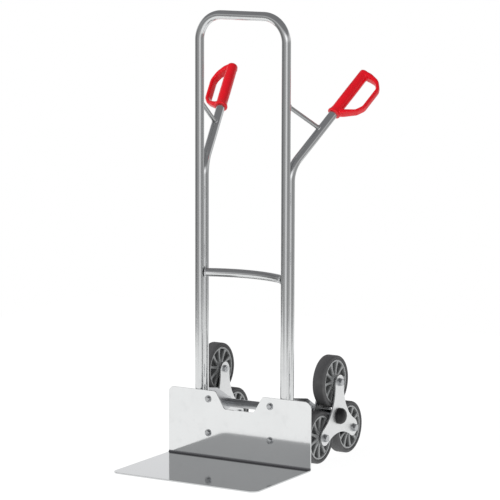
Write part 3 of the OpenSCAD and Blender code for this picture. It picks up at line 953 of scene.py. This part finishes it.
@dataclass
class Grips:
    """The two moulded grips with their guards."""

    finishes: Finishes
    tubes: TubeFrame
    start: float = 224.0
    length: float = 172.0
    bar_d: float = 32.0
    collar_d: float = 40.0
    collar_t: float = 7.0
    guard_reach: float = 70.0
    guard_t: float = 11.0
    guard_depth: float = 24.0
    guard_turn: float = 29.0
    squareness: float = 0.62
    voxel: float = 0.9

    def local(self, side: Side) -> Matrix:
        """Frame of the upper handle tube: +Z up the tube, +X outward."""
        corner = LAYOUT.at(side.value * LAYOUT.spacing / 2, LAYOUT.handle_y, self.tubes.corner_z)
        swing, tilt = math.radians(self.tubes.swing), math.radians(self.tubes.tilt)
        turn = Matrix.Rotation(-swing, 4, "Z") @ Matrix.Rotation(-tilt, 4, "X")
        if side is Side.LEFT:
            flip = Matrix.Scale(-1, 4, Vector((1, 0, 0)))
            return Matrix.Translation(corner) @ flip @ turn
        return Matrix.Translation(corner) @ turn

    def bar(self) -> Piece:
        """The part held in the hand, with its collar, in the tube's frame."""
        r, c, s = self.bar_d / 2, self.collar_d / 2, self.start
        top = s + self.length
        stations = [(s, c - 2.0), (s + 0.6, c - 0.8), (s + 2.0, c), (s + self.collar_t - 3.0, c - 0.2),
                    (s + self.collar_t, c - 1.2), (s + self.collar_t + 5.0, r + 1.2),
                    (s + self.collar_t + 14.0, r), (s + 60.0, r + 0.25), (s + 95.0, r + 0.25),
                    (top - 30.0, r)]
        stations += arc(top - 6.0, r - 6.0, 6.0, range(90, -1, -15))
        return lathe("grip_bar", stations, ORIGIN, Axis.Z, 64)

    def guard(self) -> Piece:
        """The D-shaped guard: a broad band around its window, thicker where it leaves the bar."""
        start, top = self.start, self.start + self.length
        t, reach = self.guard_t, self.guard_reach
        path = [(8.0, start + 11.0), (24.0, start + 18.0), (reach - 17.0, start + 38.0),
                (reach - t / 2, start + 60.0), (reach - t / 2, top - 35.0),
                (reach - t / 2 - 17.0, top - 15.0), (22.0, top - 9.5), (-8.0, top - 9.5)]
        points = self.rounded(path, [0.0, 14.0, 18.0, 20.0, 26.0, 22.0, 30.0, 0.0])
        ring = Piece.ring("grip_guard", 0.5, ORIGIN, (0, 0, 0), 32)
        for vert in ring.obj.data.vertices:
            vert.co.x, vert.co.y = (math.copysign(0.5 * abs(2 * c) ** self.squareness, c) for c in vert.co.xy)
        placed = self.section(points, 0)
        ring.obj.data.transform(placed)
        ring.edit()
        ring.select_ring()
        for i in range(1, len(points)):
            bpy.ops.mesh.extrude_region_move(TRANSFORM_OT_translate={"value": (0, 0, 0)})
            target = self.section(points, i)
            change = target @ placed.inverted()
            ring.reshape(lambda point: change @ point)
            placed = target
        ring.cap_ends()
        ring.obj.data.transform(Matrix.Rotation(math.radians(self.guard_turn), 4, "Z"))
        return ring

    def section(self, points: Sequence[tuple[float, float]], index: int) -> Matrix:
        """Places the unit section across the path at one of its points.

        Args:
            points: Points of the path, in millimetres.
            index: Which point.

        Returns:
            The matrix from the unit section to its place.
        """
        here, behind = points[index], points[max(index - 1, 0)]
        ahead = points[min(index + 1, len(points) - 1)]
        way = Vector((ahead[0] - behind[0], 0, ahead[1] - behind[1])).normalized()
        low = here[1] < self.start + self.length / 2
        near = max(0.0, 1.0 - max(0.0, here[0] - (8.0 if low else 18.0)) / (self.guard_reach - 32.0))
        thick = self.guard_t + near * (9.0 if low else 7.0)
        depth = self.guard_depth + near * (3.0 if low else 8.0)
        across = way.cross(Vector((0, 1, 0)))
        turn = Matrix((across, Vector((0, 1, 0)), way)).transposed().to_4x4()
        size = Matrix.Diagonal(Vector((thick * MM, depth * MM, 1.0, 1.0)))
        return Matrix.Translation(Vector((here[0], 0, here[1])) * MM) @ turn @ size

    @staticmethod
    def rounded(path: Sequence[tuple], radii: Sequence[float], steps: int = 7) -> list[tuple]:
        """Rounds the corners of an open path.

        Args:
            path: Corner points.
            radii: Radius at each corner; 0 keeps it.
            steps: Segments in each rounded corner.

        Returns:
            The points of the rounded path.
        """
        points: list[tuple[float, float]] = []
        for i, here in enumerate(path):
            if radii[i] == 0.0:
                points.append(here)
                continue
            p = Vector(here)
            a = (Vector(path[i - 1]) - p).normalized()
            b = (Vector(path[i + 1]) - p).normalized()
            half = a.angle(b) / 2
            reach = radii[i] / math.tan(half)
            centre = p + (a + b).normalized() * radii[i] / math.sin(half)
            v0, v1 = p + a * reach - centre, p + b * reach - centre
            turn = v0.angle_signed(v1)
            for k in range(steps + 1):
                angle = -turn * k / steps
                x = v0.x * math.cos(angle) - v0.y * math.sin(angle)
                y = v0.x * math.sin(angle) + v0.y * math.cos(angle)
                points.append((centre.x + x, centre.y + y))
        return points

    def build(self) -> None:
        """Moulds one grip and copies it to both sides."""
        grip = self.bar().join([self.guard()])
        grip.modify("REMESH", mode="VOXEL", voxel_size=self.voxel * MM, adaptivity=0.0)
        grip.modify("SMOOTH", factor=0.5, iterations=10)
        for side in Side:
            twin = grip.copy(f"grip_mould_{side.tag}", self.local(side))
            twin.finish(self.finishes, Slot.GRIP, "frame", [f"grip_{side.tag}"], smooth=60.0)
        bpy.data.objects.remove(grip.obj)


@dataclass
class NoseAssembly:
    """The folded nose plate, its bolts, and the lugs and brackets behind it."""

    finishes: Finishes
    spacing_x: float = 207.0
    spacing_z: float = 100.0
    low_z: float = 75.0
    bolt_d: float = 8.0
    bolt_af: float = 13.0
    head_t: float = 5.5
    washer_t: float = 1.6
    stack: float = 8.0
    tail: float = 12.0
    pitch: float = 1.25

    def spots(self) -> list[Vector]:
        """Where the bolts enter the plate's front face."""
        return [LAYOUT.at(s * self.spacing_x / 2, 0, self.low_z + k * self.spacing_z)
                for s in (-1, 1) for k in (0, 1)]

    def bolts(self) -> None:
        """Hex bolts with chamfered heads and threaded tails."""
        radius, face, end = self.bolt_d / 2, -self.washer_t, self.stack + self.tail
        top = Vector((0, (face - self.head_t) * MM, 0))
        head = hex_head("bolt_head", Axis.Y, self.bolt_af, self.head_t, top, -1)
        place = self.stack - 1.0
        stations = [(face, radius), (place, radius)]
        while place + self.pitch < end - 0.8:
            stations += [(place + 0.35, radius - 0.55), (place + 0.9, radius)]
            place += self.pitch
        stations.append((end, radius - 0.8))
        bolt = head.join([lathe("bolt_shank", stations, ORIGIN, Axis.Y, 32)])
        bolts = bolt.scatter("plate_bolts", [Matrix.Translation(spot) for spot in self.spots()])
        bolts.finish(self.finishes, Slot.BOLT, "frame", ["nose_bolts"])

    def build(self) -> None:
        """Builds the nose plate and all that is fixed to it."""
        plate = Piece.from_node("folded_plate", "nose_plate")
        plate.soften(1.7 * MM, 4, 50.0)
        plate.finish(self.finishes, Slot.NOSE, "frame", ["nose_plate"], smooth=40.0)
        self.bolts()
        for name, node, slot, width in (
            ("plate_washers", "nose_washers", Slot.BOLT, 0.3),
            ("plate_nuts", "nose_nuts", Slot.BOLT, 0.5),
        ):
            Piece.from_node(name, node).soften(width * MM, 2).finish(self.finishes, slot, "frame", [node])
        for side in Side:
            for name, node in (("lug", "nose_lug"), ("bracket", "axle_bracket")):
                piece = Piece.from_node(f"{name}_{side.tag}", f"{node}_{side.tag}").soften(0.6 * MM, 2)
                piece.finish(self.finishes, Slot.BRACKET, "frame", [f"{node}_{side.tag}"])


def hex_head(name: str, axis: Axis, flats: float, height: float, base: Vector, sign: int) -> Piece:
    """A hexagon head whose outer corners are turned to a cone.

    Args:
        name: Name of the piece.
        axis: Axis of the bolt.
        flats: Width across the flats, in millimetres.
        height: Height of the head, in millimetres.
        base: Middle of the outer face.
        sign: 1 if the outer face looks along the axis, -1 if against it.

    Returns:
        The head, closed.
    """
    back = axis.direction * sign * height * MM
    corner = flats / math.sqrt(3)
    head = Piece.start(name, bpy.ops.mesh.primitive_cylinder_add, vertices=6, radius=corner * MM,
                       depth=height * MM, location=base - back / 2, rotation=axis.turn)
    wide, edge = corner * 1.1, flats / 2 * 0.93
    stations = [(-height * 0.1, wide), (height - (wide - edge) * 0.5, wide), (height, edge)]
    cutter = lathe(name + "_cutter", stations, base - back, axis, 64, sign=sign)
    head.modify("BOOLEAN", operation="INTERSECT", object=cutter.obj, solver="EXACT")
    bpy.data.objects.remove(cutter.obj)
    return head.soften(0.25 * MM, 2, 25.0)


@dataclass
class AxleAssembly:
    """The fixed axle tube, the axle through it and the clips outside the stars."""

    finishes: Finishes
    tube_d: float = 25.0
    axle_d: float = 16.0
    tube_end: float = 162.6
    reach: float = 233.0

    def build(self) -> None:
        """Builds the axle and its tube."""
        r, b, e, x = self.tube_d / 2, self.axle_d / 2, self.tube_end, self.reach
        centre = LAYOUT.at(0, LAYOUT.axle_back, LAYOUT.axle_z)
        stations = [(-e, b), (-e, r - 0.6), (-e + 0.6, r), (e - 0.6, r), (e, r - 0.6), (e, b)]
        tube = lathe("axle_sleeve", stations, centre, Axis.X, 64, closed=True)
        tube.finish(self.finishes, Slot.AXLE, "frame", ["axle_tube"])
        stations = [(-x, b - 1.2), (-x + 1.2, b), (x - 1.2, b), (x, b - 1.2)]
        lathe("axle_rod", stations, centre, Axis.X, 48).finish(self.finishes, Slot.AXLE, "frame", ["axle"])
        for side in Side:
            clip = Piece.from_node(f"clip_{side.tag}", f"axle_clip_{side.tag}").soften(0.3 * MM, 2)
            clip.finish(self.finishes, Slot.AXLE, "frame", [f"axle_clip_{side.tag}"])


@dataclass
class StarCluster:
    """One star: two plates, hub, cap, wheel bolts, nuts and spacers."""

    finishes: Finishes
    side: Side
    cap_d: float = 47.0
    cap_h: float = 20.0
    washer_d: float = 24.0
    washer_t: float = 2.5
    head_t: float = 7.5
    head_af: float = 19.0
    bolt_d: float = 12.0
    nut_t: float = 6.0

    @property
    def body(self) -> str:
        """Name of the body that the star turns as."""
        return f"star_{self.side.tag}"

    def cap(self) -> None:
        """Domed hub cap with a stepped skirt and a small gate mark in the middle."""
        r, h = self.cap_d / 2, self.cap_h
        stations = [(0.0, r - 0.6), (0.6, r), (h * 0.34, r), (h * 0.38, r - 0.5), (h * 0.42, r - 1.3)]
        stations += arc(h * 0.42, 0.0, r - 1.6, range(82, 11, -7), h * 0.56 / (r - 1.6))
        stations += [(h - 0.25, r * 0.12), (h - 0.6, r * 0.09), (h - 0.65, r * 0.02)]
        cap = lathe(f"cap_{self.side.tag}", stations, LAYOUT.axle(self.side, LAYOUT.star_outer_x),
                    sign=self.side.value)
        cap.finish(self.finishes, Slot.BLACK, self.body, [f"hub_cap_{self.side.tag}"])

    def bolts(self) -> None:
        """Three wheel bolts with washers, modelled once and copied."""
        sign, radius, washer_r = self.side.value, self.bolt_d / 2, self.washer_d / 2
        outer = LAYOUT.star_outer_x
        seat = outer + self.washer_t
        centre = LAYOUT.axle(self.side, 0.0)
        top = centre + Vector((sign * (seat + self.head_t) * MM, 0, 0))
        head = hex_head("wheel_head", Axis.X, self.head_af, self.head_t, top, sign)
        stations = [(outer, radius), (outer, washer_r - 0.4), (outer + 0.4, washer_r),
                    (seat - 0.4, washer_r), (seat, washer_r - 0.4), (seat, radius)]
        washer = lathe("wheel_washer", stations, centre, Axis.X, 48, closed=True, sign=sign)
        low = LAYOUT.star_inner_x - self.nut_t - 1.0
        stations = [(low, radius - 1.0), (low + 1.0, radius), (seat, radius)]
        bolt = head.join([washer, lathe("wheel_shank", stations, centre, Axis.X, 40, sign=sign)])
        shifts = [LAYOUT.wheel(self.side, angle, 0.0) - centre for _, angle in LAYOUT.arms]
        screws = bolt.scatter(f"wheel_screws_{self.side.tag}", [Matrix.Translation(s) for s in shifts])
        screws.finish(self.finishes, Slot.BOLT, self.body, [f"wheel_bolts_{self.side.tag}"])

    def build(self) -> None:
        """Builds the star and all that turns with it, except the wheels."""
        tag = self.side.tag
        for layer in ("outer", "inner"):
            plate = Piece.from_node(f"arms_{layer}_{tag}", f"star_{layer}_{tag}").soften(0.7 * MM, 3, 50.0)
            plate.finish(self.finishes, Slot.STAR, self.body, [f"star_{layer}_{tag}"])
        self.cap()
        self.bolts()
        for name, node, slot in (("hub", "star_hub", Slot.AXLE), ("nuts", "wheel_nuts", Slot.BOLT),
                                 ("sleeves", "wheel_spacers", Slot.AXLE)):
            piece = Piece.from_node(f"{name}_{tag}", f"{node}_{tag}").soften(0.35 * MM, 2)
            piece.finish(self.finishes, slot, self.body, [f"{node}_{tag}"])


@dataclass
class Wheels:
    """Six wheels: ribbed centre, rubber tyre and bearings."""

    finishes: Finishes
    wheel_d: float = 152.0
    tyre_w: float = 38.0
    tyre_t: float = 12.0
    shoulder_r: float = 6.0
    rim_w: float = 34.0
    band_t: float = 6.0
    web_t: float = 5.0
    hub_d: float = 38.0
    bearing_d: float = 28.0
    bearing_w: float = 8.0
    ribs: int = 10
    rib_t: float = 7.0

    @property
    def rim_r(self) -> float:
        """Radius where the rim meets the tyre."""
        return self.wheel_d / 2 - self.tyre_t

    def tyre(self) -> Piece:
        """Tyre section with rounded shoulders, a side groove and a raised bead beside the rim."""
        half, r, rim, s = self.tyre_w / 2, self.wheel_d / 2, self.rim_r, self.shoulder_r
        side = [(half - 2.0, rim), (half - 0.5, rim + 0.7), (half, rim + 1.6), (half, rim + 2.6),
                (half - 0.9, rim + 3.2), (half - 0.9, rim + 3.9), (half - 0.15, rim + 4.5), (half, r - s)]
        shoulder = arc(half - s, r - s, s, [11.25 * k for k in range(1, 9)])
        one = side + shoulder + [(half - s - 3.0, r), (2.0, r), (0.6, r), (0.0, r - 0.001)]
        return lathe("tyre", mirrored(one, 1), ORIGIN, Axis.X, 96, True)

    def rim(self) -> Piece:
        """Wheel centre: hub, web and band turned in one, with tapered ribs on both faces."""
        hub, bore, half = self.hub_d / 2, self.bearing_d / 2, self.tyre_w / 2
        web, band, edge, rim = self.web_t / 2, self.rim_r - self.band_t, self.rim_w / 2, self.rim_r
        side = [(half - self.bearing_w, bore - 2.0), (half - self.bearing_w, bore), (half - 0.5, bore),
                (half, bore + 0.5), (half, hub - 0.8), (half - 0.8, hub), (web + 2.0, hub + 1.0),
                (web, hub + 3.0), (web, band - 2.0), (web + 2.0, band), (edge - 0.7, band + 0.6),
                (edge, band + 1.3), (edge, rim - 1.2), (edge - 0.8, rim - 0.1)]
        body = lathe("rim", mirrored(side), ORIGIN, Axis.X, 96, True)
        rib = self.rib((hub + band) / 2, band - hub + 4.0, self.rim_w - 3.0)
        turns = [math.radians(360 / self.ribs * k) for k in range(self.ribs)]
        return body.join([rib.scatter("rib", [Matrix.Rotation(turn, 4, "X") for turn in turns])])

    def rib(self, middle: float, length: float, depth: float) -> Piece:
        """One rib, wider at the hub and at the band than between them, its long edges rounded."""
        rib = Piece.start("rib_blank", bpy.ops.mesh.primitive_cube_add, size=1.0,
                          location=(0, 0, middle * MM), scale=Vector((depth, self.rib_t, length)) * MM)

        def flared(point: Vector) -> Vector:
            place = abs((point.z / MM - middle) / (length / 2))
            flare, waist = 1.0 + 0.75 * place**3, 1.0 - 0.10 * (1.0 - place**2)
            return Vector((point.x * waist, point.y * flare, point.z))

        rib.edit()
        bpy.ops.mesh.select_all(action="SELECT")
        bpy.ops.mesh.subdivide(number_cuts=4)
        rib.reshape(flared)
        rib.leave()
        return rib.soften(0.8 * MM, 2, 50.0)

    def bearings(self) -> Piece:
        """Two ball bearings with a shield groove between their races."""
        half, r, b = self.tyre_w / 2, self.bearing_d / 2, 6.05
        inner = half - self.bearing_w
        stations = [(inner, b), (inner, r), (half - 0.3, r), (half, r - 0.3), (half, r - 2.4),
                    (half - 0.6, r - 2.6), (half - 0.6, b + 2.4), (half, b + 2.2), (half, b + 0.3),
                    (half - 0.3, b)]
        one = lathe("bearing", stations, ORIGIN, Axis.X, 48, True)
        return one.join([one.copy("bearing_twin", Matrix.Scale(-1, 4, Vector((1, 0, 0))))])

    def build(self) -> None:
        """Models one of each and copies it to all six wheels."""
        kinds = ((self.tyre(), "tyre", Slot.TYRE), (self.rim(), "rim", Slot.RIM),
                 (self.bearings(), "bearings", Slot.BEARING))
        for model, node, slot in kinds:
            for side in Side:
                for k, (arm, angle) in enumerate(LAYOUT.arms):
                    spot = LAYOUT.wheel(side, angle, LAYOUT.wheel_x)
                    turn = Matrix.Rotation(math.radians(13.0 * (k + 1) + 7.0 * side.value), 4, "X")
                    key = f"{side.tag}_{arm}"
                    twin = model.copy(f"wheel_{node}_{key}", Matrix.Translation(spot) @ turn)
                    twin.finish(self.finishes, slot, f"wheel_{key}", [f"{node}_{key}"])
            bpy.data.objects.remove(model.obj)


# ---------------------------------------------------------------- studio


@dataclass
class Studio:
    """Pale floor, soft room light and the camera."""

    floor_half: float = 2.0
    floor_front: float = -1.9
    floor_back: float = 2.2
    eye: tuple[float, float, float] = (4.0724, -6.8355, 1.8150)
    azimuth: float = 30.649
    pitch: float = -8.567
    roll: float = 0.1536
    lens: float = 202.37

    def floor(self) -> None:
        """Plain pale floor that fades into the bright surroundings."""
        middle, depth = (self.floor_front + self.floor_back) / 2, self.floor_back - self.floor_front
        floor = Piece.start("studio_floor", bpy.ops.mesh.primitive_plane_add, size=1.0)
        floor.obj.location, floor.obj.scale = (0, middle, 0), (2 * self.floor_half, depth, 1)
        floor.settle()
        material, g = new_graph("pale_floor")
        mottle = g.noise(g.place(), 0.7, 2.0)
        g.surface({
            "Base Color": g.blend(mottle * 0.1, (0.16, 0.16, 0.16), (0.14, 0.14, 0.14)),
            "Roughness": 0.9,
            "Specular IOR Level": 0.0,
            "Emission Color": (1.0, 1.0, 1.0, 1.0),
            "Emission Strength": 0.94,
        })
        floor.obj.data.materials.append(material)

    def room(self) -> None:
        """Light of a grey room with soft panels, as brightness by compass direction and height.

        The camera itself sees a plain white background instead of the room.
        """
        world = bpy.data.worlds.new("studio_room")
        bpy.context.scene.world = world
        world.use_nodes = True
        g = Graph(world.node_tree)
        coords = g.node("ShaderNodeTexCoord", out="Generated")
        x, y, z = g.parts(coords)
        turn = g.node("ShaderNodeMath", {"operation": "ARCTAN2"}, {0: y, 1: x}) / (2 * math.pi) + 0.5
        facing = self.azimuth - 90.0
        looks = ((-180, 0.60), (-134, 0.58), (-110, 0.12), (-88, 0.22), (-62, 0.32), (-20, 0.42), (0, 0.88),
                 (18, 0.88), (38, 0.40), (56, 0.32), (84, 0.36), (112, 0.44), (140, 0.56), (158, 0.60))
        stops = []
        for angle, bright in looks:
            place = ((facing + angle) / 360.0 + 0.5) % 1.0
            stops.append((place, (bright, bright, bright * 1.01, 1.0)))
        stops.sort()
        first, last = stops[0], stops[-1]
        span = first[0] + 1.0 - last[0]
        edge = last[1][0] + (first[1][0] - last[1][0]) * (1.0 - last[0]) / span
        stops = [(0.0, (edge, edge, edge, 1.0)), *stops, (1.0, (edge, edge, edge, 1.0))]
        ring = g.node("ShaderNodeValToRGB", {"stops": stops}, {0: turn})
        up = z.step(0.17, 0.45)
        seen = g.node("ShaderNodeLightPath", out="Is Camera Ray")
        plain = g.blend(seen, g.blend(up, ring, (0.14, 0.14, 0.145)), (1.0, 1.0, 1.0))
        lift = 1.0 + z.step(-0.06, 0.12) * 0.75 * (1.0 - seen)
        background = g.raw("ShaderNodeBackground", {}, {"Color": plain, "Strength": lift})
        output = g.raw("ShaderNodeOutputWorld")
        g.tree.links.new(background.outputs[0], output.inputs[0])

    def panel(self, name: str, spot: Vector, size: float, power: float) -> None:
        """One soft area light that looks at the truck."""
        data = bpy.data.lights.new(name, "AREA")
        data.shape = "DISK"
        data.size = size
        data.energy = power
        lamp = bpy.data.objects.new(name, data)
        bpy.context.scene.collection.objects.link(lamp)
        lamp.location = spot
        lamp.rotation_mode = "QUATERNION"
        lamp.rotation_quaternion = (Vector((0, 0, 0.6)) - spot).to_track_quat("-Z", "Y")
        lamp.visible_glossy = False

    def camera(self) -> None:
        """Camera that looks down a little, from the front right."""
        data = bpy.data.cameras.new("studio_camera")
        data.lens = self.lens
        data.sensor_width = 36.0
        data.clip_end = 100.0
        cam = bpy.data.objects.new("studio_camera", data)
        bpy.context.scene.collection.objects.link(cam)
        turn = (Matrix.Rotation(math.radians(self.azimuth), 4, "Z")
                @ Matrix.Rotation(math.radians(90.0 + self.pitch), 4, "X")
                @ Matrix.Rotation(math.radians(self.roll), 4, "Z"))
        cam.matrix_world = Matrix.Translation(Vector(self.eye)) @ turn
        bpy.context.scene.camera = cam

    def build(self) -> None:
        """Builds the studio."""
        self.floor()
        self.room()
        self.panel("key_panel", Vector((-2.2, -3.0, 3.4)), 1.8, 135.0)
        self.panel("fill_panel", Vector((3.4, -2.2, 2.2)), 1.6, 45.0)
        self.camera()
        bpy.context.scene.view_settings.view_transform = "Standard"


def main() -> None:
    """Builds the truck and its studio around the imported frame."""
    logging.basicConfig(level=logging.INFO, format="%(name)s: %(message)s")
    finishes = Finishes(LAYOUT.wheel_x * MM, Wheels.rim_w / 2 * MM)
    tubes = TubeFrame(finishes)
    tubes.build()
    Grips(finishes, tubes).build()
    NoseAssembly(finishes).build()
    AxleAssembly(finishes).build()
    for side in Side:
        StarCluster(finishes, side).build()
    Wheels(finishes).build()
    Studio().build()


if __name__ == "__main__":
    main()
